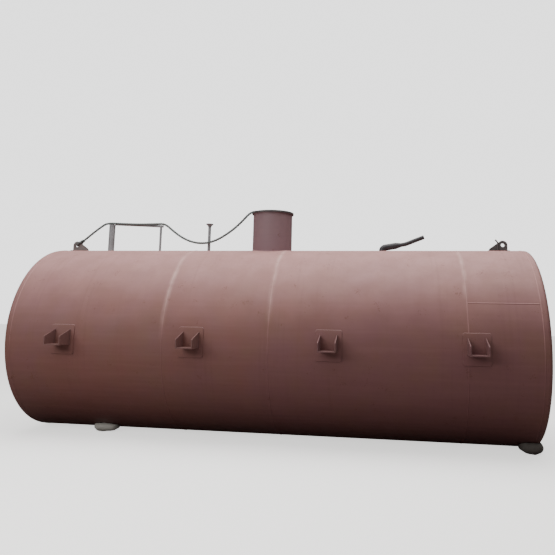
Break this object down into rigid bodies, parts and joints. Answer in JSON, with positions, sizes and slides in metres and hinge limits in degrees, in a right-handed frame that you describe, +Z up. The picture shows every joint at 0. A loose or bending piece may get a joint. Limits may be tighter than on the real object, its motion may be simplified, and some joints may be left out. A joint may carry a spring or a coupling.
{
  "type": "horizontal diesel fuel tank",
  "caption": "Horizontal welded steel fuel tank with shallow dished ends, manhole, pipe stubs, side brackets, lifting lugs and stone chocks.",
  "frame": {"origin": "on the ground, under the middle of the tank", "axes": "+X along the tank, left to right in the picture; +Y away from the viewed side; +Z up"},
  "size_m": [6.9654, 2.98, 3.107],
  "materials": {
    "red_oxide_plate": "satin",
    "weld_bead": "satin",
    "dark_fittings": "matte",
    "grey_pipework": "matte",
    "black_pipework": "matte",
    "rope": "matte",
    "pale_stone": "matte",
    "dark_stone": "matte"
  },
  "bodies": {
    "root": {"back_bracket_1_gussets": "red_oxide_plate", "back_bracket_1_shelf": "red_oxide_plate", "back_bracket_2_gussets": "red_oxide_plate", "back_bracket_2_shelf": "red_oxide_plate", "back_bracket_3_gussets": "red_oxide_plate", "back_bracket_3_shelf": "red_oxide_plate", "back_bracket_4_gussets": "red_oxide_plate", "back_bracket_4_shelf": "red_oxide_plate", "back_bracket_pads": "red_oxide_plate", "course_seam_welds": "weld_bead", "cover_handle": "dark_fittings", "dip_pipe": "grey_pipework", "dip_pipe_cap": "grey_pipework", "fill_pipe": "grey_pipework", "front_bracket_1_gussets": "red_oxide_plate", "front_bracket_1_shelf": "red_oxide_plate", "front_bracket_2_gussets": "red_oxide_plate", "front_bracket_2_shelf": "red_oxide_plate", "front_bracket_3_gussets": "red_oxide_plate", "front_bracket_3_shelf": "red_oxide_plate", "front_bracket_4_gussets": "red_oxide_plate", "front_bracket_4_shelf": "red_oxide_plate", "front_bracket_pads": "red_oxide_plate", "left_chocks": "pale_stone", "left_end": "red_oxide_plate", "left_lifting_lug": "dark_fittings", "lifting_lug_pads": "dark_fittings", "manhole_cover": "dark_fittings", "manhole_flange": "dark_fittings", "manhole_neck": "red_oxide_plate", "rail_pipe": "grey_pipework", "rail_post": "grey_pipework", "right_chocks": "dark_stone", "right_end": "red_oxide_plate", "right_lifting_lug": "dark_fittings", "right_lug_hook": "dark_fittings", "ring_welds": "weld_bead", "rope": "rope", "rope_knots": "rope", "shell_course_1": "red_oxide_plate", "shell_course_2": "red_oxide_plate", "shell_course_3": "red_oxide_plate", "shell_course_4": "red_oxide_plate", "vent_elbow": "black_pipework", "vent_pipe": "black_pipework"}
  },
  "joints": []
}
